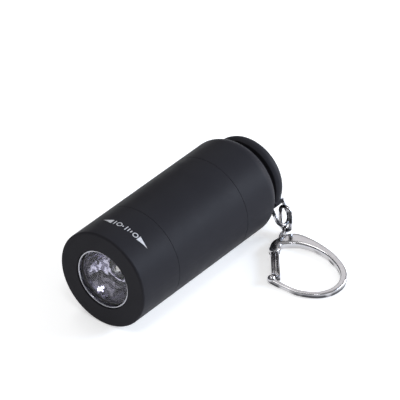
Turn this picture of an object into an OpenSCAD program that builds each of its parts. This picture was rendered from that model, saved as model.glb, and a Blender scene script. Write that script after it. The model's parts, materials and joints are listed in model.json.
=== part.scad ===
// Keychain flashlight: rotary-switch head, rechargeable barrel, pull-off tail cap over
// the charging plug, and a chain of two links to a spring-gate clip.
// The torch axis runs along Y. The lens faces -Y, +Z is up, and the origin is on the
// axis at the middle of the barrel. The torch and the clip lie on the plane z = -torch_r.

/* [Torch body] */
// Diameter of the head, the barrel and the tail cap
torch_d = 24; // [23.6:0.1:25]
// Length of the head
head_l = 12.95; // [12.9:0.05:14]
// Length of the barrel
barrel_l = 25; // [25:0.5:30]
// Length of the tail cap's skirt
cap_l = 12.55; // [12.5:0.05:13.5]
// Gap at the two seams of the body
seam_gap = 0.05; // [0.04:0.01:0.15]
// Rounding of the front edge
front_round = 0.5; // [0.4:0.1:1.0]
// Rounding of the rear shoulder
rear_round = 3.7; // [3:0.1:3.8]

/* [Tail flange] */
// Width of the groove in front of the tail flange
groove_w = 1.25; // [1.2:0.05:1.4]
// Thickness of the tail flange
flange_t = 3.35; // [3.3:0.05:3.5]
// Radius of the tail flange
flange_r = 9.95; // [9.9:0.01:10.1]
// Distance of the link hole from the torch axis
ear_out = 9.3; // [9.3:0.05:9.5]
// Angle of the link hole, below the horizontal
ear_angle = 27; // [25:1:29]

/* [Optics] */
// Diameter of the window in the front face
window_d = 14.8; // [14.4:0.1:15]
// Depth of the reflector cup
cup_depth = 4.0; // [3.6:0.1:4.2]
// Radius of the light emitter's dome
dome_r = 1.4; // [1.1:0.1:1.6]

/* [Charging plug] */
// Width of the plug's shell
plug_w = 12; // [12]
// Height of the plug's shell
plug_h = 4.5; // [4.5]
// Length of the plug outside the barrel
plug_out = 11.6; // [11:0.1:11.8]

/* [Links and clip] */
// Wire diameter of the ring that goes through the tail flange
ring_wire = 0.85; // [0.8:0.01:0.88]
// Wire diameter of the second link
link_wire = 0.9; // [0.8:0.05:0.9]
// Height of the clip above the surface it lies on, at its eye
clip_h = 1.85; // [1.7:0.05:1.9]
// Height of the clip at the tip of its hook
clip_tip_h = 1.2; // [1.1:0.05:1.25]
// Width of the spring gate
gate_w = 2.0; // [1.8:0.1:2.1]

/* [Hidden] */
$fn = 96;
torch_r = torch_d / 2;
floor_z = -torch_r;
barrel_front = -barrel_l / 2;
barrel_back = barrel_l / 2;
head_back = barrel_front - seam_gap;
front = head_back - head_l;
cap_front = barrel_back + seam_gap;
cap_back = cap_front + cap_l;
flange_front = cap_back + groove_w;
tail = flange_front + flange_t;
edge_round = 0.06;
clear = 0.05;

// Shell walls and bores
shell_r = torch_r - 1.8;
window_r = window_d / 2;
front_wall = 1.6;
neck_r = 9.9;
neck_front = barrel_front - 3.4;
tail_neck_r = 9.4;
tail_neck_back = barrel_back + 2.7;
core_bore = 8.4;
cap_bore = 9.7;
cap_bore_back = cap_back - 3.0;
groove_floor = 8.6;
deep_bore = 7.2;
end_wall = 1.9;

// Optical stack, from the front face backward
trim_front = front + 0.3;
trim_t = 0.6;
lens_front = trim_front + trim_t;
lens_t = 1.2;
gasket_front = lens_front + lens_t;
gasket_t = 0.3;
cup_front = gasket_front + gasket_t;
cup_back = cup_front + cup_depth;
cup_rim_r = 6.65;
cup_floor_r = 2.6;
led_base_t = 0.7;
board_front = cup_back + 0.6;
board_t = 0.8;
rotor_front = board_front + board_t + 0.7;
rotor_t = 0.8;
pad_t = 0.15;
stator_front = rotor_front + rotor_t + 1.0;
stator_t = 0.8;

// Seals and the snap ring between head and barrel
seal_wire = 0.5;
head_seal_y = barrel_front - 0.95;
snap_ring_y = barrel_front - 2.3;
snap_ring_w = 0.6;
tail_seal_y = barrel_back + 1.5;

// Cell, board and plug
cell_r = 7.0;
cell_l = 17.0;
cell_front = stator_front + stator_t + 0.9;
cell_back = cell_front + cell_l;
wrap_t = 0.15;
pcb_front = cell_back + 0.9;
pcb_back = barrel_back - 0.4;
pcb_top = -plug_h / 2 - 0.1;
pcb_t = 0.8;
pcb_w = 13.6;
plug_back = tail_neck_back + plug_out;
plug_root = barrel_back - 4.5;
plug_wall = 0.35;

// Links. The ring turns in the flange's ear; the second link hangs on the ring's bottom.
ear_r = 1.1;
ear_back = flange_front + 2.4;
ear_x = ear_out * cos(ear_angle);
ear_z = -ear_out * sin(ear_angle);
ear_hole_r = ring_wire / 2 + 0.13;
ring_front_y = cap_back + groove_w / 2;
ring_back_y = tail + 0.25;
ring_mid_y = (ring_front_y + ring_back_y) / 2;
ring_half = (ring_back_y - ring_front_y) / 2;
ring_bend = 0.6;
eye_r = 1.0;
eye_w = 0.8;
eye_hole_r = link_wire / 2 + 0.18;
eye_z = floor_z + eye_r;
link_x = ear_x + 2.81;
link_half = 1.45;
link_top_z = ear_z - 1.75;
ring_low_z = eye_z + eye_r + ring_wire / 2 + 0.13;
ring_drop = norm([link_x - ear_x, ring_low_z - ear_z]);
ring_lean = atan2(ring_low_z - ear_z, link_x - ear_x);

// Clip. The middle line of its frame runs from the gate's pin round to the hook:
// x, y and half of the width at each point.
pin_at = [14.2, 19.5];
frame_line = [
    [14.2, 19.5, 1.3],
    [13.3, 22.0, 1.3],
    [15.0, 25.3, 2.1],
    [18.4, 26.3, 1.55],
    [22.3, 26.2, 1.1],
    [26.3, 25.3, 0.9],
    [30.4, 23.3, 0.83],
    [33.0, 21.0, 0.8],
    [34.4, 18.3, 0.76],
    [34.6, 15.7, 0.72],
    [33.8, 13.4, 0.68],
    [31.9, 11.4, 0.63],
    [28.5, 9.9, 0.58],
    [25.2, 9.7, 0.55],
    [22.3, 9.85, 0.62],
    [20.5, 10.1, 0.7]
];
hook_at = [20.5, 10.1];
hook_r = 1.0;
steps = 4;
pin_r = 0.4;
lug_r = 1.3;
cheek_t = 0.4;
slot_r = 1.5;
slot_low = floor_z + cheek_t;
slot_high = floor_z + clip_h - cheek_t;
shoulder_h = 1.3;

// Gate, along its own line from the pin to the hook
gate_turn = -50.6;
gate_root = 1.75;
gate_len = 10.05;
gate_lip = 10.75;
gate_low = floor_z + 0.1;
gate_high = floor_z + 1.7;
gate_wall = 0.35;

// ---- Shapes that repeat ----

// Turns a profile of radius and Y about the torch axis
module turned() {
    rotate([90, 0, 0])
        mirror([0, 0, 1])
            rotate_extrude($fn = 128)
                children();
}

module band(r0, r1, y0, y1) {
    translate([r0, y0])
        square([r1 - r0, y1 - y0]);
}

// A band with its two outer corners rounded
module rounded_band(r0, r1, y0, y1, round0, round1) {
    intersection() {
        band(r0, r1, y0, y1);
        union() {
            band(r0, r1 - round0, y0, y0 + round0);
            band(r0, r1, y0 + round0, y1 - round1);
            band(r0, r1 - round1, y1 - round1, y1);
            translate([r1 - round0, y0 + round0])
                circle(round0);
            translate([r1 - round1, y1 - round1])
                circle(round1);
        }
    }
}

// A round rod along Y
module rod(x, z, r, y0, y1) {
    translate([x, y1, z])
        rotate([90, 0, 0])
            cylinder(r = r, h = y1 - y0);
}

// A block between two corners
module block(low, high) {
    translate(low)
        cube(high - low);
}

// A bent wire: an arc in the XY plane about the origin
module wire_arc(bend_r, wire_r, start, angle) {
    rotate([0, 0, start])
        rotate_extrude(angle = angle)
            translate([bend_r, 0])
                circle(wire_r);
}

module seal(mid_r, y) {
    turned()
        translate([mid_r, y])
            circle(seal_wire);
}

// ---- Head ----

module head_shell() {
    color([0.17, 0.17, 0.19])
        turned()
            difference() {
                rounded_band(0, torch_r, front, head_back, front_round, edge_round);
                band(-1, window_r, front - 1, head_back);
                band(-1, shell_r, front + front_wall, head_back + 1);
                band(-1, shell_r + 0.5, snap_ring_y - 0.4, snap_ring_y + 0.4);
            }
}

module lens_trim_ring() {
    color([0.75, 0.75, 0.78])
        turned()
            band(6.9, window_r - clear, trim_front, trim_front + trim_t);
}

module lens() {
    color([0.85, 0.9, 0.95, 0.4])
        turned()
            band(0, window_r - clear, lens_front, lens_front + lens_t);
}

module lens_gasket() {
    color([0.08, 0.08, 0.08])
        turned()
            band(cup_rim_r + 0.05, window_r - clear, gasket_front, gasket_front + gasket_t);
}

// Radius of the cup at a depth from 0, the rim, to 1, the floor
function cup_r(t) = cup_floor_r + (cup_rim_r - cup_floor_r) * sqrt(1 - t);

module reflector() {
    cup_wall = 0.5;
    cup_steps = 12;
    inner = [for (i = [0 : cup_steps - 1]) [cup_r(i / cup_steps), cup_front + i / cup_steps * cup_depth]];
    outer = [for (i = [cup_steps - 1 : -1 : 2])
        [cup_r(i / cup_steps) + cup_wall, cup_front + i / cup_steps * cup_depth]];
    color([0.8, 0.8, 0.85])
        turned()
            polygon(concat(
                inner,
                [[cup_floor_r, cup_back], [cup_floor_r + 1.4, cup_back]],
                outer,
                [[window_r - clear, cup_front + 0.5], [window_r - clear, cup_front]]
            ));
}

module optics_carrier() {
    color("white")
        turned()
            difference() {
                band(0, shell_r - clear, front + front_wall, rotor_front - clear);
                band(-1, window_r, front, cup_back + 0.5);
                band(-1, window_r - 0.3, cup_back, rotor_front + 1);
            }
}

module led_base() {
    color([0.9, 0.9, 0.85])
        rotate([90, 0, 0])
            translate([0, 0, -board_front])
                cylinder(r = 2.3, h = led_base_t);
}

module led_dome() {
    color([0.95, 0.9, 0.6, 0.6])
        turned()
            difference() {
                translate([0, board_front - led_base_t])
                    circle(dome_r);
                band(-3, 0, board_front - 5, board_front + 5);
                band(-3, 3, board_front - led_base_t, board_front + 5);
            }
}

module led_board() {
    color([0.1, 0.35, 0.2])
        difference() {
            turned()
                band(0, window_r - 0.4, board_front, board_front + board_t);
            for (x = [-3, 3])
                rod(x, 0, 0.35, board_front - 1, board_front + board_t + 1);
        }
}

module led_leads() {
    color("gold")
        for (x = [-3, 3])
            rod(x, 0, 0.25, board_front - 0.3, rotor_front);
}

// ---- Rotary switch ----

module switch_rotor() {
    color([0.15, 0.4, 0.25])
        turned()
            band(0, shell_r - clear, rotor_front, rotor_front + rotor_t);
}

// A full ring track and two quarter tracks that are 90 degrees apart
module rotor_pads() {
    pad_back = rotor_front + rotor_t;
    color("gold") {
        turned()
            band(2.2, 3.2, pad_back, pad_back + pad_t);
        for (start = [10, 190])
            rotate([90, 0, 0])
                translate([0, 0, -pad_back - pad_t])
                    rotate([0, 0, start])
                        rotate_extrude(angle = 80)
                            translate([5, 0])
                                square([1.6, pad_t]);
    }
}

module snap_ring() {
    color([0.6, 0.6, 0.62])
        difference() {
            turned()
                band(9.45, shell_r + 0.45, snap_ring_y - snap_ring_w / 2, snap_ring_y + snap_ring_w / 2);
            block([-1.2, snap_ring_y - 1, 0], [1.2, snap_ring_y + 1, 12]);
        }
}

module switch_stator() {
    color([0.15, 0.4, 0.25])
        turned()
            band(0, core_bore - clear, stator_front, stator_front + stator_t);
}

// A foot on the stator and a finger that reaches forward to a track
module wiper(r, turn) {
    reach = stator_front - rotor_front - rotor_t - pad_t - 0.08;
    rotate([0, turn, 0]) {
        block([r - 1.2, stator_front - 0.2, -0.6], [r + 0.8, stator_front, 0.6]);
        block([r - 0.1, stator_front - reach, -0.5], [r + 0.1, stator_front - 0.1, 0.5]);
    }
}

module wiper_contacts() {
    color("gold") {
        wiper(2.7, 0);
        wiper(5.8, 90);
    }
}

// ---- Barrel ----

module barrel_sleeve() {
    color([0.17, 0.17, 0.19])
        turned()
            difference() {
                rounded_band(0, torch_r, barrel_front, barrel_back, edge_round, edge_round);
                band(-1, shell_r, barrel_front - 1, barrel_back + 1);
            }
}

module core() {
    seal_groove = 0.6;
    color("white")
        difference() {
            turned()
                difference() {
                    union() {
                        band(0, neck_r, neck_front, barrel_front);
                        band(0, shell_r - clear, barrel_front, barrel_back);
                        band(0, tail_neck_r, barrel_back, tail_neck_back);
                    }
                    band(-1, core_bore, neck_front - 1, barrel_back);
                    band(neck_r - 0.75, neck_r + 1, head_seal_y - seal_groove, head_seal_y + seal_groove);
                    band(neck_r - 0.6, neck_r + 1, snap_ring_y - 0.4, snap_ring_y + 0.4);
                    band(tail_neck_r - 0.75, neck_r, tail_seal_y - seal_groove, tail_seal_y + seal_groove);
                }
            block(
                [-plug_w / 2 - clear, barrel_back - 1, -plug_h / 2 - clear],
                [plug_w / 2 + clear, tail_neck_back + 1, plug_h / 2 + clear]
            );
        }
}

module head_seal() {
    color([0.1, 0.1, 0.1])
        seal(neck_r - 0.24, head_seal_y);
}

module tail_seal() {
    color([0.1, 0.1, 0.1])
        seal(tail_neck_r - 0.24, tail_seal_y);
}

module battery_cell() {
    color([0.7, 0.72, 0.75])
        turned() {
            rounded_band(0, cell_r, cell_front, cell_back, 0.5, 0.5);
        }
}

module battery_wrap() {
    color([0.1, 0.25, 0.55])
        turned()
            band(cell_r + 0.02, cell_r + wrap_t, cell_front + 0.6, cell_back - 0.6);
}

module battery_tabs() {
    color([0.75, 0.75, 0.7]) {
        block([-2, cell_front - 0.15, -2], [2, cell_front, 6]);
        block([-2, cell_back, -2], [2, cell_back + 0.15, 6]);
    }
}

module battery_pads() {
    color([0.2, 0.2, 0.2]) {
        turned()
            band(3, core_bore - 0.4, cell_front - 0.7, cell_front - 0.2);
        turned()
            band(3, core_bore - 0.4, cell_back + 0.2, cell_back + 0.7);
    }
}

module charge_board() {
    color([0.1, 0.35, 0.2])
        block([-pcb_w / 2, pcb_front, pcb_top - pcb_t], [pcb_w / 2, pcb_back, pcb_top]);
}

// A charge controller and the small parts beside it
module board_chips() {
    chips = [[-2.5, 1.0, 4.9, 3.0, 1.3], [3.4, 1.2, 1.6, 0.8, 0.7], [3.4, 2.8, 1.6, 0.8, 0.7], [-5.3, 1.4, 1.2, 2.0, 0.6]];
    color([0.12, 0.12, 0.12])
        for (c = chips)
            translate([c[0], pcb_front + c[1], pcb_top - pcb_t - c[4]])
                cube([c[2], c[3], c[4]]);
}

module usb_shell() {
    color([0.8, 0.8, 0.82])
        difference() {
            block([-plug_w / 2, plug_root, -plug_h / 2], [plug_w / 2, plug_back, plug_h / 2]);
            block(
                [-plug_w / 2 + plug_wall, plug_root + 0.5, -plug_h / 2 + plug_wall],
                [plug_w / 2 - plug_wall, plug_back + 1, plug_h / 2 - plug_wall]
            );
            for (x = [-2.9, 2.9])
                block([x - 1.25, plug_back - 7.2, -plug_h], [x + 1.25, plug_back - 5.0, plug_h]);
        }
}

module usb_tongue() {
    color([0.95, 0.95, 0.95])
        block(
            [-plug_w / 2 + plug_wall, plug_root + 0.6, -plug_h / 2 + plug_wall],
            [plug_w / 2 - plug_wall, plug_back - 0.4, -0.2]
        );
}

module usb_contacts() {
    color("gold")
        for (x = [-3.5, -1, 1, 3.5])
            block([x - 0.5, plug_back - 8.5, -0.2], [x + 0.5, plug_back - 1.2, -0.05]);
}

// ---- Tail cap ----

module tail_cap() {
    color([0.17, 0.17, 0.19])
        difference() {
            union() {
                turned()
                    difference() {
                        union() {
                            rounded_band(0, torch_r, cap_front, cap_back, edge_round, rear_round);
                            band(0, groove_floor, cap_back - 1, flange_front + 0.7);
                            rounded_band(0, flange_r, flange_front, tail, 1.0, 2.2);
                        }
                        band(-1, cap_bore, cap_front - 1, cap_bore_back);
                        band(-1, deep_bore, cap_front, tail - end_wall);
                    }
                rod(ear_x, ear_z, ear_r, flange_front + 0.1, ear_back);
            }
            rod(ear_x, ear_z, ear_hole_r, flange_front - 1, tail + 1);
        }
}

// ---- Links ----

// The ring: one straight side in the flange's ear, a round bottom
module ring() {
    wire_r = ring_wire / 2;
    color([0.75, 0.75, 0.78])
        translate([ear_x, ring_mid_y, ear_z])
            rotate([0, -ring_lean, 0])
                union() {
                    rod(0, 0, wire_r, -ring_half + ring_bend, ring_half - ring_bend);
                    for (side = [-1, 1]) {
                        translate([ring_bend, side * (ring_half - ring_bend), 0])
                            wire_arc(ring_bend, wire_r, side > 0 ? 90 : 180, 90);
                        translate([ring_bend, side * ring_half, 0])
                            rotate([0, 90, 0])
                                cylinder(r = wire_r, h = ring_drop - ring_half - ring_bend);
                    }
                    translate([ring_drop - ring_half, 0, 0])
                        wire_arc(ring_half, wire_r, -90, 180);
                }
}

// The second link: an upright oval that crosses the ring
module chain_link() {
    wire_r = link_wire / 2;
    low = eye_z + link_half;
    high = link_top_z;
    color([0.75, 0.75, 0.78])
        translate([link_x, ring_mid_y, 0])
            rotate([90, 0, 0])
                union() {
                    for (x = [-link_half, link_half])
                        translate([x, low, 0])
                            rotate([-90, 0, 0])
                                cylinder(r = wire_r, h = high - low);
                    translate([0, high, 0])
                        wire_arc(link_half, wire_r, 0, 180);
                    translate([0, low, 0])
                        wire_arc(link_half, wire_r, 180, 180);
                }
}

// ---- Clip ----

// A point on the smooth curve through four neighbours of the line
function smooth(p0, p1, p2, p3, t) =
    0.5 * (2 * p1 + (p2 - p0) * t + (2 * p0 - 5 * p1 + 4 * p2 - p3) * t * t
        + (3 * p1 - p0 - 3 * p2 + p3) * t * t * t);

function clamped(list, i) = list[max(0, min(len(list) - 1, i))];

function smooth_line(list) = [
    for (i = [0 : len(list) - 2], k = [0 : steps - 1])
        smooth(clamped(list, i - 1), list[i], list[i + 1], clamped(list, i + 2), k / steps),
    list[len(list) - 1]
];

function heading(line, i) =
    let (d = clamped(line, i + 1) - clamped(line, i - 1))
        [d[0], d[1]] / norm([d[0], d[1]]);

// The line's points, moved sideways by their half width
function side_points(line, side) = [
    for (i = [0 : len(line) - 1])
        let (h = heading(line, i))
            [line[i][0] - side * h[1] * line[i][2], line[i][1] + side * h[0] * line[i][2]]
];

module frame_outline() {
    line = smooth_line(frame_line);
    left = side_points(line, 1);
    right = side_points(line, -1);
    polygon(concat(left, [for (i = [len(right) - 1 : -1 : 0]) right[i]]));
    translate([line[len(line) - 1][0], line[len(line) - 1][1]])
        circle(frame_line[len(frame_line) - 1][2]);
}

// The frame's side view: full height at the eye, lower toward the hook
module frame_height() {
    block([0, 0, floor_z], [17, 32, floor_z + clip_h]);
    rotate([90, 0, 90])
        linear_extrude(height = 60)
            polygon([
                [0, floor_z],
                [32, floor_z],
                [32, floor_z + clip_h],
                [26, floor_z + clip_h],
                [22, floor_z + 1.6],
                [14, floor_z + 1.35],
                [9.5, floor_z + clip_tip_h],
                [0, floor_z + clip_tip_h]
            ]);
}

// A low shoulder that carries the eye
module shoulder() {
    left = link_x - eye_w / 2;
    right = link_x + eye_w / 2;
    translate([0, 0, floor_z])
        linear_extrude(height = shoulder_h)
            polygon([
                [left, ring_mid_y],
                [left, 25.4],
                [12.1, 22.6],
                [14, 22.6],
                [15, 26],
                [right, 26],
                [right, ring_mid_y]
            ]);
}

module clip_frame() {
    color([0.75, 0.75, 0.78])
        difference() {
            union() {
                intersection() {
                    translate([0, 0, floor_z - 1])
                        linear_extrude(height = 4)
                            frame_outline();
                    frame_height();
                }
                translate([pin_at[0], pin_at[1], floor_z])
                    cylinder(r = lug_r, h = clip_h);
                translate([hook_at[0], hook_at[1], floor_z + hook_r])
                    sphere(hook_r);
                shoulder();
                translate([link_x - eye_w / 2, ring_mid_y, eye_z])
                    rotate([0, 90, 0])
                        cylinder(r = eye_r, h = eye_w);
            }
            translate([pin_at[0], pin_at[1], slot_low])
                cylinder(r = slot_r, h = slot_high - slot_low);
            translate([link_x - 2, ring_mid_y, eye_z])
                rotate([0, 90, 0])
                    cylinder(r = eye_hole_r, h = 4);
            translate([pin_at[0], pin_at[1], floor_z - 1])
                cylinder(r = pin_r + 0.01, h = 4);
        }
}

module gate_pin() {
    color([0.75, 0.75, 0.78])
        translate([pin_at[0], pin_at[1], floor_z + 0.02])
            cylinder(r = pin_r, h = clip_h - 0.04);
}

module at_gate() {
    translate([pin_at[0], pin_at[1], 0])
        rotate([0, 0, gate_turn])
            children();
}

// A leaf spring inside the gate, on its web
module gate_spring() {
    web = -gate_w / 2 + gate_wall;
    color([0.6, 0.6, 0.62])
        at_gate()
            block([gate_root + 0.5, web, gate_low + 0.5], [7, web + 0.15, gate_high - 0.5]);
}

// A folded channel with its web along the outer side, a tongue at the pin, and a lip
// at the far end that stops behind the hook
module gate() {
    color([0.75, 0.75, 0.78])
        at_gate()
            difference() {
                union() {
                    difference() {
                        union() {
                            block([gate_root, -gate_w / 2, gate_low], [gate_len, gate_w / 2, gate_high]);
                            block([gate_len - 0.5, 0.05, gate_low], [gate_lip, gate_w / 2, gate_high]);
                        }
                        block(
                            [gate_root + 0.4, -gate_w / 2 + gate_wall, gate_low + gate_wall],
                            [gate_len - 0.7, gate_w, gate_high - gate_wall]
                        );
                    }
                    translate([0, 0, slot_low + 0.1])
                        cylinder(r = lug_r - 0.1, h = slot_high - slot_low - 0.2);
                    block([0, -0.8, slot_low + 0.1], [gate_root + 0.1, 0.8, slot_high - 0.1]);
                }
                translate([0, 0, floor_z - 1])
                    cylinder(r = pin_r + 0.07, h = 4);
            }
}

head_shell();
lens_trim_ring();
lens();
lens_gasket();
reflector();
optics_carrier();
led_base();
led_dome();
led_board();
led_leads();
switch_rotor();
rotor_pads();
snap_ring();
barrel_sleeve();
core();
head_seal();
tail_seal();
switch_stator();
wiper_contacts();
battery_cell();
battery_wrap();
battery_tabs();
battery_pads();
charge_board();
board_chips();
usb_shell();
usb_tongue();
usb_contacts();
tail_cap();
ring();
chain_link();
clip_frame();
gate_pin();
gate_spring();
gate();
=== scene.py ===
"""Looks for the keychain flashlight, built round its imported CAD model.

The frame is the CAD's: the torch axis is Y, the lens faces -Y, +Z is up, and the torch
and the clip lie on one plane. Lengths here are millimetres, and MM turns them into metres.
"""

import json
import math

import bmesh
import bpy
from mathutils import Matrix, Vector


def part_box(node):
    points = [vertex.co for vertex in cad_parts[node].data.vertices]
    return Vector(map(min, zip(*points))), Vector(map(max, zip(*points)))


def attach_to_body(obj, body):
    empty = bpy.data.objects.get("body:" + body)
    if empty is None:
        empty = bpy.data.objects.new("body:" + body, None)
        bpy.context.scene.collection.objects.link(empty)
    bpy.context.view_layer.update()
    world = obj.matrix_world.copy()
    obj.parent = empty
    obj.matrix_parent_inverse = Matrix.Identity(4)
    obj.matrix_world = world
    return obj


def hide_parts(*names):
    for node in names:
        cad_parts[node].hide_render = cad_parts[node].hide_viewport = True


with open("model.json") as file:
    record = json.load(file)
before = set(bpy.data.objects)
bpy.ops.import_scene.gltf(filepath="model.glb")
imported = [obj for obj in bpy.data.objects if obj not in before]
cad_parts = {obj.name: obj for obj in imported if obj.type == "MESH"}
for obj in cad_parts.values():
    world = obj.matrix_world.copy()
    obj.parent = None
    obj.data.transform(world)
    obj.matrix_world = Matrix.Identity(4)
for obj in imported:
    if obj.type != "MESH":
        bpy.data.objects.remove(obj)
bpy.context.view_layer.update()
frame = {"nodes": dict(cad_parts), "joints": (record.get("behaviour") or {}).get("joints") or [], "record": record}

MM = 0.001
JOINTS = {j["name"]: Vector(j["pos_m"]) / MM for j in frame["joints"] if "pos_m" in j}


def box_mm(node):
    """A CAD node's lowest and highest corner, in millimetres."""
    low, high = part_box(node)
    return low / MM, high / MM


HEAD_LOW, HEAD_HIGH = box_mm("head_shell")
TORCH_R = HEAD_HIGH.x
FLOOR_Z = -TORCH_R
FRONT_Y = HEAD_LOW.y
UP = Vector((0, 0, 1))
ALONG = Vector((0, 1, 0))


# ---- Materials ----

class Finish:
    """A material whose nodes end in one Principled shader."""

    def __init__(self, name, metallic=0.0, roughness=0.5, **sockets):
        self.material = bpy.data.materials.new(name)
        self.material.use_nodes = True
        self.tree = self.material.node_tree
        self.shader = self.tree.nodes["Principled BSDF"]
        self.place = self.node("ShaderNodeTexCoord").outputs["Object"]
        self.put("Metallic", metallic)
        self.put("Roughness", roughness)
        for socket, value in sockets.items():
            self.put(socket.replace("_", " "), value)

    def put(self, socket, value):
        self.shader.inputs[socket].default_value = value

    def feed(self, socket, output):
        self.tree.links.new(output, self.shader.inputs[socket])

    def node(self, kind, **inputs):
        made = self.tree.nodes.new(kind)
        for name, value in inputs.items():
            socket = made.inputs[name.replace("_", " ")]
            if isinstance(value, bpy.types.NodeSocket):
                self.tree.links.new(value, socket)
            else:
                socket.default_value = value
        return made

    def noise(self, size, detail=3.0, place=None):
        """Noise from 0 to 1 whose blobs are about size millimetres across."""
        made = self.node("ShaderNodeTexNoise", Vector=place or self.place,
                         Scale=1 / (size * MM), Detail=detail)
        return made.outputs["Fac"]

    def rings(self, size, distortion, detail=3.0):
        """Uneven rings about the torch axis, from 0 to 1, about size millimetres apart."""
        scale_per_ring = math.pi / 10
        made = self.node("ShaderNodeTexWave", Vector=self.place,
                         Scale=scale_per_ring / (size * MM),
                         Distortion=distortion, Detail=detail, Detail_Scale=1.5)
        made.wave_type = "RINGS"
        made.rings_direction = "Y"
        return made.outputs["Fac"]

    def stretched(self, x, y, z):
        """Coordinates that make a pattern longer along the axes with small factors."""
        made = self.node("ShaderNodeVectorMath", Vector=self.place)
        made.operation = "MULTIPLY"
        made.inputs[1].default_value = (x, y, z)
        return made.outputs["Vector"]

    def ramp(self, factor, *stops):
        """Maps a factor to colours or greys, given as (position, value) pairs."""
        made = self.node("ShaderNodeValToRGB", Fac=factor)
        elements = made.color_ramp.elements
        while len(elements) < len(stops):
            elements.new(0.5)
        for element, (position, value) in zip(elements, stops):
            element.position = position
            if isinstance(value, (int, float)):
                value = (value, value, value)
            element.color = (*value, 1.0)
        return made.outputs["Color"]

    def mix(self, factor, a, b):
        """A colour between a and b."""
        factor_socket, a_socket, b_socket, colour_output = 0, 6, 7, 2
        made = self.tree.nodes.new("ShaderNodeMix")
        made.data_type = "RGBA"
        for index, value in ((factor_socket, factor), (a_socket, a), (b_socket, b)):
            socket = made.inputs[index]
            if isinstance(value, bpy.types.NodeSocket):
                self.tree.links.new(value, socket)
            else:
                socket.default_value = (*value, 1.0) if isinstance(value, tuple) else value
        return made.outputs[colour_output]

    def math(self, operation, a, b):
        made = self.tree.nodes.new("ShaderNodeMath")
        made.operation = operation
        for i, value in enumerate((a, b)):
            if isinstance(value, bpy.types.NodeSocket):
                self.tree.links.new(value, made.inputs[i])
            else:
                made.inputs[i].default_value = value
        return made.outputs[0]

    def axis(self, name):
        """One coordinate, in millimetres."""
        split = self.node("ShaderNodeSeparateXYZ", Vector=self.place)
        return self.math("DIVIDE", split.outputs[name], MM)

    def bump(self, height, depth, after=None):
        """Raises the surface by up to depth millimetres. Bumps chain through after."""
        made = self.node("ShaderNodeBump", Height=height, Distance=depth * MM, Strength=1.0)
        if after:
            self.tree.links.new(after, made.inputs["Normal"])
        self.feed("Normal", made.outputs["Normal"])
        return made.outputs["Normal"]


def soft_touch():
    """Matt black rubbery paint over plastic."""
    f = Finish("soft_touch", roughness=0.5, Specular_IOR_Level=0.04)
    f.feed("Base Color", f.mix(f.noise(9.0, detail=2.0),
                               (0.0195, 0.019, 0.0225), (0.025, 0.0245, 0.0285)))
    f.feed("Roughness", f.ramp(f.noise(3.0), (0.3, 0.44), (0.7, 0.52)))
    f.bump(f.noise(0.12, detail=2.0), 0.006)
    return f.material


def chrome(name, patch, painted_shade_near_floor):
    """Bright plate with faint ripples and scratches, and painted dark reflections in patches of a size in
    millimetres.
    The painted patches can keep to the part next to the floor, below a fading height, as painted shade."""
    fade_height = 1.6
    f = Finish(name, metallic=1.0, roughness=0.1)
    bright = f.mix(f.noise(2.0), (0.54, 0.53, 0.55), (0.66, 0.65, 0.66))
    # Painted dark reflections: dark patches put into the plate's colour where the chrome would mirror dark
    # surroundings.
    shade = f.ramp(f.noise(patch, detail=1.0), (0.42, 0.0), (0.54, 1.0))
    # Next to the floor the patches are painted shade that fades out with height.
    if painted_shade_near_floor:
        rise = f.math("DIVIDE", f.math("SUBTRACT", f.axis("Z"), FLOOR_Z), fade_height)
        shade = f.math("MULTIPLY", shade, f.ramp(rise, (0.4, 1.0), (0.75, 0.0)))
    f.feed("Base Color", f.mix(shade, bright, (0.07, 0.07, 0.075)))
    f.feed("Roughness", f.ramp(f.noise(0.8), (0.3, 0.12), (0.75, 0.26)))
    ripples = f.bump(f.noise(1.4, detail=1.0), 0.012)
    f.bump(f.noise(0.06, place=f.stretched(1.0, 0.25, 1.0)), 0.0006, after=ripples)
    return f.material


def bright_trim():
    """Metallised plastic ring round the window."""
    f = Finish("bright_trim", metallic=1.0, roughness=0.22)
    f.feed("Base Color", f.mix(f.noise(1.5), (0.36, 0.36, 0.4), (0.52, 0.52, 0.56)))
    f.feed("Roughness", f.ramp(f.noise(0.5), (0.3, 0.18), (0.7, 0.3)))
    f.bump(f.noise(0.2), 0.002)
    return f.material


def mirror_cup():
    """Vacuum-metallised plastic, with painted reflections in its colour, dark and bright rings in a purple grey,
    and a thin moulding's slight waves.
    """
    f = Finish("mirror_cup", metallic=1.0, roughness=0.12)
    # Painted reflections: dark and bright rings and a purple grey tone put into the mirror's colour.
    painted_reflection_rings = f.ramp(f.rings(1.3, 9.0), (0.2, 0.0), (0.8, 1.0))
    f.feed("Base Color", f.mix(painted_reflection_rings, (0.16, 0.15, 0.2), (0.5, 0.48, 0.57)))
    f.feed("Roughness", f.ramp(f.noise(0.9), (0.3, 0.05), (0.7, 0.16)))
    ripples = f.bump(f.rings(1.5, 3.0, detail=0.0), 0.06)
    f.bump(f.noise(0.8, detail=0.0), 0.05, after=ripples)
    return f.material


def clear_window():
    """Polished acrylic with a few smudges."""
    f = Finish("clear_window", roughness=0.03, IOR=1.25, Transmission_Weight=1.0)
    f.feed("Base Color", f.mix(f.noise(4.0), (0.93, 0.94, 0.97), (0.98, 0.98, 0.99)))
    f.feed("Roughness", f.ramp(f.noise(1.8, detail=5.0), (0.4, 0.0), (0.8, 0.08)))
    return f.material


def clear_dome():
    """Clear silicone with a glossy skin, a little cloudy inside."""
    f = Finish("clear_dome", roughness=0.05, IOR=1.41, Transmission_Weight=0.9,
               Coat_Weight=1.0, Coat_IOR=2.4, Coat_Roughness=0.04)
    f.feed("Base Color", f.mix(f.noise(0.6), (0.92, 0.91, 0.88), (0.97, 0.97, 0.95)))
    f.feed("Roughness", f.ramp(f.noise(0.5), (0.4, 0.02), (0.8, 0.1)))
    return f.material


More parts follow.
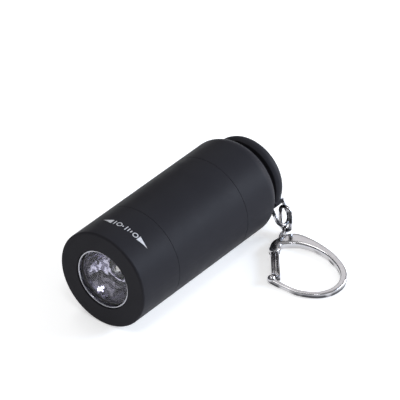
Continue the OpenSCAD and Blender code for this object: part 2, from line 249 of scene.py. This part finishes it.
def phosphor():
    """Pale phosphor, with a slight glow that is a painted highlight, the bright spot under the dome."""
    # The emission is a painted highlight. The emitter is off, and the glow makes the bright spot under the dome.
    f = Finish("phosphor", roughness=0.6,
               Emission_Color=(1.0, 0.97, 0.95, 1.0), Emission_Strength=0.4)
    f.feed("Base Color", f.mix(f.noise(0.15), (0.86, 0.85, 0.78), (0.94, 0.93, 0.88)))
    f.bump(f.noise(0.05), 0.003)
    return f.material


def plastic(name, dark, light, roughness, grain=0.25, depth=0.004):
    """Moulded plastic or rubber: a slight change of shade, and a fine moulded grain."""
    f = Finish(name, roughness=roughness)
    f.feed("Base Color", f.mix(f.noise(3.0), dark, light))
    f.feed("Roughness", f.ramp(f.noise(1.0), (0.3, roughness - 0.06), (0.7, roughness + 0.08)))
    f.bump(f.noise(grain), depth)
    return f.material


def foam():
    """Closed-cell foam, with its cells."""
    f = Finish("foam", roughness=0.9)
    cell = 0.35
    voronoi = f.node("ShaderNodeTexVoronoi", Vector=f.place, Scale=1 / (cell * MM))
    cells = voronoi.outputs["Distance"]
    f.feed("Base Color", f.ramp(cells, (0.0, 0.015), (0.8, 0.06)))
    f.bump(cells, 0.08)
    return f.material


def circuit_board():
    """Green solder mask over fine copper lines."""
    f = Finish("circuit_board", roughness=0.35)
    line_pitch = 0.9
    waves = f.node("ShaderNodeTexWave", Vector=f.stretched(1.0, 1.0, 0.7),
                   Scale=0.3 / (line_pitch * MM), Distortion=3.0, Detail=0.0, Detail_Scale=0.6)
    lines = f.ramp(waves.outputs["Fac"], (0.55, 0.0), (0.62, 1.0))
    f.feed("Base Color", f.mix(lines, (0.012, 0.1, 0.035), (0.03, 0.2, 0.07)))
    f.feed("Roughness", f.ramp(f.noise(1.0), (0.3, 0.3), (0.7, 0.42)))
    f.bump(lines, 0.02)
    return f.material


def metal(name, dark, light, roughness):
    """Plated or brushed sheet metal, with lines along Y."""
    f = Finish(name, metallic=1.0, roughness=roughness)
    lines = f.noise(0.08, place=f.stretched(1.0, 0.25, 1.0))
    f.feed("Base Color", f.mix(f.noise(2.0), dark, light))
    f.feed("Roughness", f.ramp(lines, (0.3, roughness - 0.06), (0.7, roughness + 0.1)))
    f.bump(lines, 0.001)
    return f.material


def heat_shrink():
    """Thin printed sleeve, wrinkled a little where it shrank."""
    f = Finish("heat_shrink", roughness=0.3)
    f.feed("Base Color", f.mix(f.noise(4.0), (0.01, 0.05, 0.25), (0.02, 0.08, 0.33)))
    f.feed("Roughness", f.ramp(f.noise(1.5), (0.3, 0.24), (0.7, 0.38)))
    f.bump(f.noise(1.6, place=f.stretched(0.3, 1.0, 0.3)), 0.03)
    return f.material


def print_ink():
    """Pad-printed pale ink with small pinholes."""
    f = Finish("print_ink", roughness=0.55)
    holes = f.ramp(f.noise(0.14), (0.34, 0.0), (0.42, 1.0))
    f.feed("Base Color", f.mix(holes, (0.2, 0.2, 0.22), (0.6, 0.6, 0.62)))
    f.bump(f.noise(0.1), 0.002)
    return f.material


FINISHES = {
    "body": soft_touch(),
    "trim": bright_trim(),
    "window": clear_window(),
    "gasket": plastic("black_rubber", (0.012, 0.012, 0.012), (0.02, 0.02, 0.02), 0.7),
    "reflector": mirror_cup(),
    "carrier": plastic("white_plastic", (0.72, 0.72, 0.7), (0.8, 0.8, 0.78), 0.45),
    "emitter_base": plastic("emitter_ceramic", (0.05, 0.05, 0.055), (0.09, 0.09, 0.095), 0.5,
                            grain=0.1),
    "emitter_dome": clear_dome(),
    "circuit_board": circuit_board(),
    "contacts": metal("gold_plate", (0.75, 0.5, 0.16), (0.88, 0.64, 0.26), 0.22),
    "chips": plastic("black_epoxy", (0.01, 0.01, 0.01), (0.02, 0.02, 0.022), 0.5, grain=0.08),
    "steel": metal("nickel_steel", (0.55, 0.55, 0.56), (0.68, 0.68, 0.68), 0.26),
    "wrap": heat_shrink(),
    "foam": foam(),
    "tongue": plastic("white_nylon", (0.75, 0.75, 0.73), (0.84, 0.84, 0.82), 0.4),
    # Painted dark reflections in 5 mm patches, kept next to the floor as painted shade.
    "chrome": chrome("clip_chrome", 5.0, True),
}


# The seal shows through the window. Its pale purple grey, paler than the body's seals, is a painted reflection
# like the mirror cup's.
WINDOW_SEAL = plastic("pale_seal_painted_reflection", (0.16, 0.15, 0.19), (0.3, 0.29, 0.34), 0.3)


def paint_cad_nodes():
    """Gives each CAD node the finish of its material slot."""
    for part in frame["record"]["subparts"]:
        node = frame["nodes"][part["node"]]
        node.data.materials.clear()
        node.data.materials.append(FINISHES[part["material_slot"]])


# ---- Meshes ----

# Points closer than this, in metres, are one point
SAME_POINT = 1e-7


def piece(name, vertices, faces, slot, body, replaced=(), finish=None, sharp=35.0):
    """A closed mesh, in millimetres, that rides on a body.
    Edges that turn by more than sharp degrees stay sharp."""
    mesh = bpy.data.meshes.new(name)
    mesh.from_pydata([Vector(v) * MM for v in vertices], [], faces)
    made = bpy.data.objects.new(name, mesh)
    bpy.context.scene.collection.objects.link(made)
    settle(made, finish or FINISHES[slot], sharp)
    attach(made, body, replaced)
    return made


def settle(made, finish, sharp):
    """Turns the faces outward, merges doubled points and sets the shading."""
    work = bmesh.new()
    work.from_mesh(made.data)
    bmesh.ops.remove_doubles(work, verts=work.verts, dist=SAME_POINT)
    bmesh.ops.recalc_face_normals(work, faces=work.faces)
    for face in work.faces:
        face.smooth = True
        face.material_index = 0
    for edge in work.edges:
        edge.smooth = edge.calc_face_angle(0.0) < math.radians(sharp)
    work.to_mesh(made.data)
    work.free()
    made.data.materials.clear()
    made.data.materials.append(finish)


def attach(made, body, replaced=()):
    """Rides a mesh on a body and the CAD nodes it stands for."""
    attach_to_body(made, body)
    if replaced:
        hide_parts(*replaced)


def loft(rings, closed=False):
    """Faces that join rings of points. An open loft is closed by a face at each end."""
    vertices = [p for ring in rings for p in ring]
    sides = len(rings[0])
    count = len(rings)
    faces = []
    for i in range(count if closed else count - 1):
        a, b = i * sides, (i + 1) % count * sides
        for k in range(sides):
            m = (k + 1) % sides
            faces.append((a + k, a + m, b + m, b + k))
    if not closed:
        faces.append(tuple(range(sides)))
        faces.append(tuple(range((count - 1) * sides, count * sides)))
    return vertices, faces


def lathe(profile, around=128):
    """A closed profile of (radius, y), turned about the torch axis."""
    rings = []
    for i in range(around):
        turn = 2 * math.pi * i / around
        rings.append([(r * math.cos(turn), y, r * math.sin(turn)) for r, y in profile])
    return loft(rings, closed=True)


def superellipse(half_width, half_height, power, count):
    """Points round a rounded box; a power of 2 is an ellipse and a large power is a box."""
    points = []
    for i in range(count):
        t = 2 * math.pi * i / count
        c, s = math.cos(t), math.sin(t)
        points.append((half_width * math.copysign(abs(c) ** (2 / power), c),
                       half_height * math.copysign(abs(s) ** (2 / power), s)))
    return points


def arc(centre, radius, start, end, count):
    """Points of an arc in a plane, angles in degrees."""
    angles = [math.radians(start + (end - start) * i / count) for i in range(count + 1)]
    return [(centre[0] + radius * math.cos(a), centre[1] + radius * math.sin(a)) for a in angles]


def wire(path, normal, radius, sides=20):
    """A round wire along a closed path that lies in the plane square to normal."""
    rings = []
    count = len(path)
    for i in range(count):
        ahead = (path[(i + 1) % count] - path[i - 1]).normalized()
        side = ahead.cross(normal)
        ring = []
        for k in range(sides):
            t = 2 * math.pi * k / sides
            ring.append(path[i] + side * radius * math.cos(t) + normal * radius * math.sin(t))
        rings.append(ring)
    return loft(rings, closed=True)


def smooth_line(points, steps):
    """The smooth curve through the points, which can hold any number of values each."""
    line = []
    last = len(points) - 1
    for i in range(last):
        near = [points[max(0, min(last, i + k))] for k in (-1, 0, 1, 2)]
        for k in range(steps):
            t = k / steps
            line.append(tuple(
                0.5 * (2 * b + (c - a) * t + (2 * a - 5 * b + 4 * c - d) * t * t
                       + (3 * b - a - 3 * c + d) * t ** 3)
                for a, b, c, d in zip(*near)))
    line.append(tuple(points[-1]))
    return line


def bar(line, power, start_flat, end_flat, sides=28, cap_steps=7):
    """A bar that lies on the floor along line, whose points hold x, y, half width and height.
    Its ends are round. A flat factor of 0 keeps an end's full height to its edge, and 1 makes
    it a ball."""
    count = len(line)
    least_width, last_height = 0.02, 0.9

    def heading(i):
        a, b = line[max(i - 1, 0)], line[min(i + 1, count - 1)]
        return Vector((b[0] - a[0], b[1] - a[1], 0)).normalized()

    def place(i, ahead, past=0.0):
        x, y, half_width, height = line[i]
        return Vector((x, y, FLOOR_Z + height / 2)) + ahead * past

    def left_of(ahead):
        return Vector((-ahead.y, ahead.x, 0))

    def cap(i, out, flat):
        """The round end past point i: middles, sideways directions, half widths and heights."""
        half_width, height = line[i][2:]
        steps = []
        for k in range(1, cap_steps + 1):
            t = math.pi / 2 * k / cap_steps
            c = max(math.cos(t), least_width)
            shrunk = height * (1 - flat + flat * c)
            if k == cap_steps:
                shrunk *= last_height
            steps.append((place(i, out, half_width * math.sin(t)), left_of(heading(i)),
                          half_width * c, shrunk))
        return steps

    stations = cap(0, -heading(0), start_flat)[::-1]
    for i in range(count):
        stations.append((place(i, heading(i)), left_of(heading(i)), *line[i][2:]))
    stations += cap(count - 1, heading(count - 1), end_flat)
    rings = []
    for middle, side, half_width, height in stations:
        rings.append([middle + side * u + UP * v
                      for u, v in superellipse(half_width, height / 2, power, sides)])
    return loft(rings)


def cylinder(centre, axis, radius, length, around=48):
    """A cylinder centred on a point, along a unit axis."""
    turn = UP.rotation_difference(axis).to_matrix()
    circle = superellipse(radius, radius, 2, around)
    rings = []
    for end in (-length / 2, length / 2):
        rings.append([centre + turn @ Vector((x, y, end)) for x, y in circle])
    return loft(rings)


def ball(centre, radius, around=32, steps=16):
    """A sphere, a little flat at its top and bottom."""
    rings = []
    for i in range(1, steps):
        t = math.pi * i / steps
        ring_r, z = radius * math.sin(t), -radius * math.cos(t)
        circle = arc((0, 0), ring_r, 0, 360, around)[:-1]
        rings.append([centre + Vector((u, v, z)) for u, v in circle])
    return loft(rings)


def block(low, high, place):
    """A box between two corners, moved by a matrix."""
    corners = ((low[0], low[1]), (high[0], low[1]), (high[0], high[1]), (low[0], high[1]))
    rings = [[place @ Vector((x, y, z)) for x, y in corners] for z in (low[2], high[2])]
    return loft(rings)


def combine(name, base, steps, bevel=0.0):
    """Adds and cuts solids in turn. Each step is an operation, UNION or DIFFERENCE, and a solid.
    A bevel, in millimetres, rounds the sharp edges."""
    made = loose(name, base)
    for operation, solid in steps:
        tool = loose("tool", solid)
        modifier = made.modifiers.new("cut", "BOOLEAN")
        modifier.operation = operation
        modifier.solver = "EXACT"
        modifier.object = tool
        apply_modifiers(made)
        bpy.data.objects.remove(tool)
    if bevel:
        modifier = made.modifiers.new("bevel", "BEVEL")
        modifier.width = bevel * MM
        modifier.segments = 2
        modifier.limit_method = "ANGLE"
        modifier.angle_limit = math.radians(50)
        apply_modifiers(made)
    return made


def loose(name, solid):
    """An object with no body yet."""
    vertices, faces = solid
    mesh = bpy.data.meshes.new(name)
    mesh.from_pydata([Vector(v) * MM for v in vertices], [], faces)
    made = bpy.data.objects.new(name, mesh)
    bpy.context.scene.collection.objects.link(made)
    work = bmesh.new()
    work.from_mesh(mesh)
    bmesh.ops.recalc_face_normals(work, faces=work.faces)
    work.to_mesh(mesh)
    work.free()
    return made


def apply_modifiers(made):
    """Puts the result of the modifiers into the mesh."""
    graph = bpy.context.evaluated_depsgraph_get()
    mesh = bpy.data.meshes.new_from_object(made.evaluated_get(graph))
    made.modifiers.clear()
    made.data = mesh


# ---- Optics ----

def window():
    """The bright ring in front of the window, and the seal round its edge."""
    low, high = box_mm("lens_trim_ring")
    ring_section, roundness, sides = 0.45, 2.6, 20
    middle_r, middle_y = high.x - ring_section / 2, (low.y + high.y) / 2
    section = superellipse(ring_section / 2, (high.y - low.y) / 2, roundness, sides)
    vertices, faces = lathe([(middle_r + u, middle_y + v) for u, v in section])
    piece("window_ring", vertices, faces, "trim", "head", ["lens_trim_ring"])

    low, high = box_mm("lens_gasket")
    window_front = box_mm("lens")[0].y
    inner_r, outer_r, lip = 6.75, high.x, 0.09
    vertices, faces = lathe([
        (inner_r, low.y), (inner_r, high.y), (outer_r, high.y),
        (outer_r, window_front), (outer_r - lip, window_front), (outer_r - lip, low.y),
    ])
    piece("window_seal", vertices, faces, "gasket", "head", ["lens_gasket"], WINDOW_SEAL)


def cup():
    """The reflector, a paraboloid with a flat lip and a flat foot."""
    low, high = box_mm("reflector")
    rim_r, floor_r, wall, lip, foot = 6.65, 2.6, 0.5, 0.5, 1.4
    steps, outer_first, outer_last = 40, 7, 38

    def inside(i):
        depth = i / steps
        return floor_r + (rim_r - floor_r) * math.sqrt(1 - depth), low.y + (high.y - low.y) * depth

    inner = [inside(i) for i in range(steps)]
    outer = [(inside(i)[0] + wall, inside(i)[1]) for i in range(outer_last, outer_first - 1, -1)]
    profile = inner + [(floor_r, high.y), (floor_r + foot, high.y)] + outer
    profile += [(high.x, low.y + lip), (high.x, low.y)]
    vertices, faces = lathe(profile)
    piece("reflector_cup", vertices, faces, "reflector", "head", ["reflector"])


def emitter():
    """The emitter's dome, a little flat at its tip, and the phosphor chip under it."""
    high = box_mm("led_dome")[1]
    dome_r, base_y = high.x, high.y
    steps, around, tip = 17, 64, math.radians(88)
    rings = []
    for i in range(steps + 1):
        t = tip * i / steps
        circle = arc((0, 0), dome_r * math.cos(t), 0, 360, around)[:-1]
        rings.append([(x, base_y - dome_r * math.sin(t), z) for x, z in circle])
    vertices, faces = loft(rings)
    piece("emitter_lens", vertices, faces, "emitter_dome", "head", ["led_dome"], sharp=50.0)

    chip_half, chip_back, chip_front = 0.4, 0.02, 0.12
    square = superellipse(chip_half, chip_half, 8, 32)
    rings = [[(u, base_y - t, v) for u, v in square] for t in (chip_back, chip_front)]
    vertices, faces = loft(rings)
    piece("led_phosphor", vertices, faces, "emitter_dome", "head", finish=phosphor())


# ---- Print on the head ----

# The middle of the row of marks, its height, and how far the ink stands out and reaches in
PRINT_Y = FRONT_Y + 6.2
ARROW_H = 1.5
MARK_H = 1.4
STROKE = 0.22
BAR_W = 0.24
PRINT_OUT = 0.006
PRINT_IN = 0.03
# Degrees round the head, from +X up, of each arrow's base and tip
ARROWS = ((61.0, 46.0), (97.5, 111.0))


def printed(name, patches):
    """Thin solids that follow the head's curve. A patch is a grid of (angle, y) points."""
    work = bmesh.new()
    for rows in patches:
        grid = [[work.verts.new(on_head(a, y)) for a, y in row] for row in rows]
        for first, second in zip(grid, grid[1:]):
            for k in range(len(first) - 1):
                work.faces.new((first[k], first[k + 1], second[k + 1], second[k]))
    bmesh.ops.remove_doubles(work, verts=work.verts, dist=SAME_POINT)
    inner = bmesh.ops.extrude_face_region(work, geom=work.faces[:])
    for v in [g for g in inner["geom"] if isinstance(g, bmesh.types.BMVert)]:
        shrink = (TORCH_R - PRINT_IN) / (TORCH_R + PRINT_OUT)
        v.co.x *= shrink
        v.co.z *= shrink
    mesh = bpy.data.meshes.new(name)
    work.to_mesh(mesh)
    work.free()
    made = bpy.data.objects.new(name, mesh)
    bpy.context.scene.collection.objects.link(made)
    settle(made, INK, 35.0)
    attach(made, "head")


def on_head(angle, y):
    """A point on the ink's surface, in metres."""
    r = (TORCH_R + PRINT_OUT) * MM
    a = math.radians(angle)
    return Vector((r * math.cos(a), y * MM, r * math.sin(a)))


def arrow(start, tip):
    """A slender arrow whose sides curve in to its tip."""
    rows = []
    steps, sharpness = 10, 1.35
    for i in range(steps + 1):
        t = i / steps
        half = ARROW_H / 2 * (1 - t) ** sharpness
        angle = start + (tip - start) * t
        rows.append([(angle, PRINT_Y - half), (angle, PRINT_Y + half)])
    return rows


def ring_mark(angle, outer, inner):
    """A flat ring, or a dot where inner is near 0, with radii in millimetres."""
    degrees = math.degrees(1 / TORCH_R)
    rows = []
    steps = 24
    for i in range(steps + 1):
        t = 2 * math.pi * i / steps
        rows.append([(angle + degrees * r * math.cos(t), PRINT_Y + r * math.sin(t))
                     for r in (inner, outer)])
    return rows


def bar_mark(angle, height):
    """A bar along the torch."""
    half = math.degrees(BAR_W / 2 / TORCH_R)
    rows = []
    for a in (angle - half, angle + half):
        rows.append([(a, PRINT_Y - height / 2), (a, PRINT_Y + height / 2)])
    return rows


def print_marks():
    """Two arrows for the switch's turn, with off, rising level and on marks between them."""
    printed("print_arrows", [arrow(*ends) for ends in ARROWS])
    circle = MARK_H / 2, MARK_H / 2 - STROKE
    dot = 0.2, 0.02
    patches = [ring_mark(65.5, *circle)]
    for angle, rise in ((71.5, 0.5), (75.0, 0.75), (78.5, 1.0)):
        patches.append(bar_mark(angle, MARK_H * rise))
    patches.append(ring_mark(83.0, *dot))
    patches.append(ring_mark(88.0, *circle))
    patches.append(bar_mark(94.0, MARK_H))
    printed("print_symbols", patches)


# ---- Links and clip ----

# Wire diameters, and the radius of the ring's two bends at the ear
RING_WIRE = 0.85
RING_BEND = 0.6
LINK_WIRE = 0.9


def links():
    """The two links of round wire."""
    low, high = box_mm("ring")
    ear, bottom = JOINTS["ring_swing"], JOINTS["link_swing"]
    down = bottom - ear
    drop = down.length
    down.normalize()
    half = (high.y - low.y - RING_WIRE) / 2
    outline = arc((RING_BEND, half - RING_BEND), RING_BEND, 180, 90, 8)
    outline += arc((drop - half, 0), half, 90, -90, 32)
    outline += arc((RING_BEND, RING_BEND - half), RING_BEND, -90, -180, 8)
    path = [ear + down * u + ALONG * v for u, v in outline]
    vertices, faces = wire(path, down.cross(ALONG), RING_WIRE / 2)
    piece("ring_wire", vertices, faces, "chrome", "ring", ["ring"], LINK_CHROME)

    low, high = box_mm("chain_link")
    centre = (low + high) / 2
    half = (high.x - low.x - LINK_WIRE) / 2
    rise = (high.z - low.z - LINK_WIRE) / 2 - half
    outline = arc((0, rise), half, 0, 180, 28) + arc((0, -rise), half, 180, 360, 28)
    path = [centre + Vector((u, 0, v)) for u, v in outline]
    vertices, faces = wire(path, ALONG, LINK_WIRE / 2)
    piece("link_wire", vertices, faces, "chrome", "chain_link", ["chain_link"], LINK_CHROME)


CLIP_H = 1.85
# The clip's middle line, from the gate's pin round to the hook: x, y, half width and height
FRAME_LINE = (
    (14.2, 19.5, 1.3, 1.85),
    (13.3, 22.0, 1.3, 1.85),
    (15.0, 25.3, 2.1, 1.85),
    (18.4, 26.3, 1.55, 1.85),
    (22.3, 26.2, 1.1, 1.82),
    (26.3, 25.3, 0.9, 1.75),
    (30.4, 23.3, 0.83, 1.68),
    (33.0, 21.0, 0.8, 1.6),
    (34.4, 18.3, 0.76, 1.5),
    (34.6, 15.7, 0.72, 1.4),
    (33.8, 13.4, 0.68, 1.32),
    (31.9, 11.4, 0.63, 1.2),
    (28.5, 9.9, 0.58, 1.12),
    (25.2, 9.7, 0.55, 1.1),
    (22.3, 9.85, 0.62, 1.18),
    (20.5, 10.1, 0.7, 1.3),
)
# The ball on the end of the hook
HOOK_AT = (20.5, 10.1)
HOOK_R = 1.0
# The arm from the frame to the eye
ARM_LINE = (
    (11.1, 27.05, 0.38, 1.2),
    (11.35, 25.9, 0.5, 1.3),
    (12.4, 24.8, 0.9, 1.4),
    (14.0, 24.3, 1.2, 1.4),
)
# The forked lug: its pin hole, and the slot between its two cheeks
PIN_HOLE_R = 0.43
SLOT_R = 1.5
CHEEK = 0.4
# The eye: its radii, and its width along X
EYE_R = 1.0
EYE_HOLE_R = 0.63
EYE_W = 0.8


def gate_pin_middle():
    """The middle of the gate's pin, half way up the clip."""
    pin = JOINTS["gate_swing"]
    return Vector((pin.x, pin.y, FLOOR_Z + CLIP_H / 2))


def clip():
    """The die-cast frame: a tapering bar, with a forked lug for the gate and an eye."""
    pin_at = gate_pin_middle()
    eye = JOINTS["clip_swing"]
    eye_section = superellipse((EYE_R - EYE_HOLE_R) / 2, EYE_W / 2, 2.8, 16)
    middle_r = (EYE_R + EYE_HOLE_R) / 2
    rings = []
    around = 40
    for i in range(around):
        t = 2 * math.pi * i / around
        out = Vector((0, math.cos(t), math.sin(t)))
        rings.append([eye + out * (middle_r + u) + Vector((v, 0, 0)) for u, v in eye_section])
    frame_bar = bar(smooth_line(FRAME_LINE, 7), power=4.5, start_flat=0.15, end_flat=0.6)
    arm = bar(smooth_line(ARM_LINE, 6), power=2.6, start_flat=0.6, end_flat=0.4)
    made = combine("clip_bar", frame_bar, [
        ("UNION", arm),
        ("UNION", loft(rings, closed=True)),
        ("UNION", ball(Vector((*HOOK_AT, FLOOR_Z + HOOK_R)), HOOK_R)),
        ("DIFFERENCE", cylinder(pin_at, UP, SLOT_R, CLIP_H - 2 * CHEEK)),
        ("DIFFERENCE", cylinder(pin_at, UP, PIN_HOLE_R, 2 * CLIP_H)),
    ])
    settle(made, FINISHES["chrome"], 40.0)
    attach(made, "clip", ["clip_frame"])


# The gate's direction from +X, in degrees
GATE_TURN = -50.6
# Distances from the pin's axis to the channel's two ends and to the end of its lip
GATE_ROOT = 1.75
GATE_LEN = 10.05
GATE_LIP = 10.75
GATE_W = 2.0
GATE_WALL = 0.35
# Heights above the floor of the gate's underside and top
GATE_LIFT = 0.1
GATE_TOP = 1.7


def gate():
    """The folded gate: a ridge between two grooves along its top, and a tongue for the pin."""
    pin_at = gate_pin_middle()
    place = (Matrix.Translation((pin_at.x, pin_at.y, FLOOR_Z))
             @ Matrix.Rotation(math.radians(GATE_TURN), 4, "Z"))
    half = GATE_W / 2
    groove_at, groove_half, groove_depth = 0.44, 0.24, 0.32
    corner = 0.3
    top, low = GATE_TOP, GATE_LIFT
    section = arc((half - corner, top - corner), corner, 0, 90, 5)
    for middle in (groove_at, -groove_at):
        for i in range(9):
            u = groove_half * (1 - i / 4)
            sink = groove_depth * (0.5 + 0.5 * math.cos(math.pi * u / groove_half))
            section.append((middle + u, top - sink))
    section += arc((corner - half, top - corner), corner, 90, 180, 5)
    section += arc((corner - half, low + corner), corner, 180, 270, 5)
    section += arc((half - corner, low + corner), corner, 270, 360, 5)
    channel = loft([[place @ Vector((x, u, v)) for u, v in section]
                    for x in (GATE_ROOT, GATE_LEN)])

    root_wall, tip_wall, groove_wall = 0.4, 0.7, 0.2
    hollow = block((GATE_ROOT + root_wall, GATE_WALL - half, low + GATE_WALL),
                   (GATE_LEN - tip_wall, half + 1, top - groove_depth - groove_wall), place)
    lip = block((GATE_LEN - 0.5, 0.05, low + 0.02), (GATE_LIP, half - 0.02, top - 0.12), place)

    tongue_gap, tongue_half, tongue_r, tongue_hole_r = 0.1, 0.8, 1.2, 0.47
    tongue_low, tongue_high = CHEEK + tongue_gap, CLIP_H - CHEEK - tongue_gap
    tongue = block((0, -tongue_half, tongue_low),
                   (GATE_ROOT + 0.1, tongue_half, tongue_high), place)
    made = combine("gate_channel", channel, [
        ("DIFFERENCE", hollow),
        ("UNION", lip),
        ("UNION", tongue),
        ("UNION", cylinder(pin_at, UP, tongue_r, tongue_high - tongue_low)),
        ("DIFFERENCE", cylinder(pin_at, UP, tongue_hole_r, 2 * CLIP_H)),
    ], bevel=0.05)
    settle(made, FINISHES["chrome"], 40.0)
    attach(made, "gate", ["gate"])


# ---- Floor, light and camera ----

CAMERA_AZIMUTH = 38.8
CAMERA_ELEVATION = 34.1
CAMERA_ROLL = -1.04
CAMERA_DISTANCE = 0.9447
# What the camera looks at: a point on the axis, moved right and up in the picture, in metres
CAMERA_TARGET = Vector((0, 0.5 * MM, 0))
CAMERA_AIM = (5.9 * MM, 6.325 * MM)
LENS_MM = 372.5


def camera_axes():
    """The camera's right, up and back directions."""
    a, e, roll = (math.radians(v) for v in (CAMERA_AZIMUTH, CAMERA_ELEVATION, CAMERA_ROLL))
    back = Vector((math.sin(a) * math.cos(e), -math.cos(a) * math.cos(e), math.sin(e)))
    right = Vector((math.cos(a), math.sin(a), 0))
    up = back.cross(right)
    turned_right = right * math.cos(roll) + up * math.sin(roll)
    return turned_right, back.cross(turned_right), back


def make_camera():
    right, up, back = camera_axes()
    data = bpy.data.cameras.new("camera")
    data.lens = LENS_MM
    data.sensor_width = 36
    data.clip_start, data.clip_end = 0.01, 20
    made = bpy.data.objects.new("camera", data)
    bpy.context.scene.collection.objects.link(made)
    target = CAMERA_TARGET + right * CAMERA_AIM[0] + up * CAMERA_AIM[1]
    turn = Matrix((right, up, back)).transposed().to_4x4()
    made.matrix_world = Matrix.Translation(target + back * CAMERA_DISTANCE) @ turn
    bpy.context.scene.camera = made


def floor():
    """A plain pale floor."""
    half = 3.0
    z = FLOOR_Z * MM
    mesh = bpy.data.meshes.new("floor")
    corners = [(-half, -half, z), (half, -half, z), (half, half, z), (-half, half, z)]
    mesh.from_pydata(corners, [], [(0, 1, 2, 3)])
    made = bpy.data.objects.new("floor", mesh)
    bpy.context.scene.collection.objects.link(made)
    f = Finish("floor", roughness=0.8, Specular_IOR_Level=0.1,
               Emission_Color=(1, 1, 1, 1), Emission_Strength=0.52)
    f.feed("Base Color", f.mix(f.noise(400.0), (0.86, 0.86, 0.86), (0.9, 0.9, 0.9)))
    made.data.materials.append(f.material)


def softbox(name, place, size, power, colour):
    """A rectangular light that faces the origin. Place and size are in metres."""
    data = bpy.data.lights.new(name, "AREA")
    data.shape = "RECTANGLE"
    data.size, data.size_y = size
    data.energy = power
    data.color = colour
    made = bpy.data.objects.new(name, data)
    bpy.context.scene.collection.objects.link(made)
    made.location = place
    made.rotation_mode = "QUATERNION"
    made.rotation_quaternion = Vector(place).to_track_quat("Z", "Y")


# Name, place, size, power in watts and colour
SOFTBOXES = (
    ("key", (0.2, -0.25, 0.6), (0.14, 0.14), 0.6, (0.94, 0.96, 1.0)),
    ("back", (-0.5, 0.62, 0.54), (0.7, 0.4), 0.6, (1.0, 0.98, 1.0)),
    ("side", (0.55, 0.5, 0.28), (0.4, 0.3), 4.5, (0.62, 0.78, 1.0)),
    ("rear", (0.4, 0.75, 0.2), (0.35, 0.25), 5.0, (1.0, 0.97, 1.0)),
    ("top", (-0.35, 0.1, 0.65), (0.3, 0.2), 0.8, (1.0, 1.0, 1.0)),
    ("front", (-0.3, -0.7, 0.35), (0.1, 0.1), 0.04, (1.0, 1.0, 1.0)),
)


def studio():
    """Soft studio light, brighter overhead than at the sides."""
    bpy.context.scene.view_settings.view_transform = "Standard"
    world = bpy.data.worlds.new("studio")
    bpy.context.scene.world = world
    world.use_nodes = True
    tree = world.node_tree
    background = tree.nodes["Background"]
    background.inputs["Strength"].default_value = 1.0
    place = tree.nodes.new("ShaderNodeTexCoord")
    split = tree.nodes.new("ShaderNodeSeparateXYZ")
    ramp = tree.nodes.new("ShaderNodeValToRGB")
    tree.links.new(place.outputs["Generated"], split.inputs[0])
    tree.links.new(split.outputs["Z"], ramp.inputs["Fac"])
    tree.links.new(ramp.outputs["Color"], background.inputs["Color"])
    stops = ((0.0, 0.06), (0.2, 0.1), (0.55, 0.3), (1.0, 0.42))
    elements = ramp.color_ramp.elements
    while len(elements) < len(stops):
        elements.new(0.5)
    for element, (position, grey) in zip(elements, stops):
        element.position = position
        element.color = (grey, grey, grey, 1)
    for light in SOFTBOXES:
        softbox(*light)


INK = print_ink()
# Painted dark reflections in small patches all over the links.
LINK_CHROME = chrome("link_chrome", 1.6, False)
paint_cad_nodes()
window()
cup()
emitter()
print_marks()
links()
clip()
gate()
make_camera()
floor()
studio()
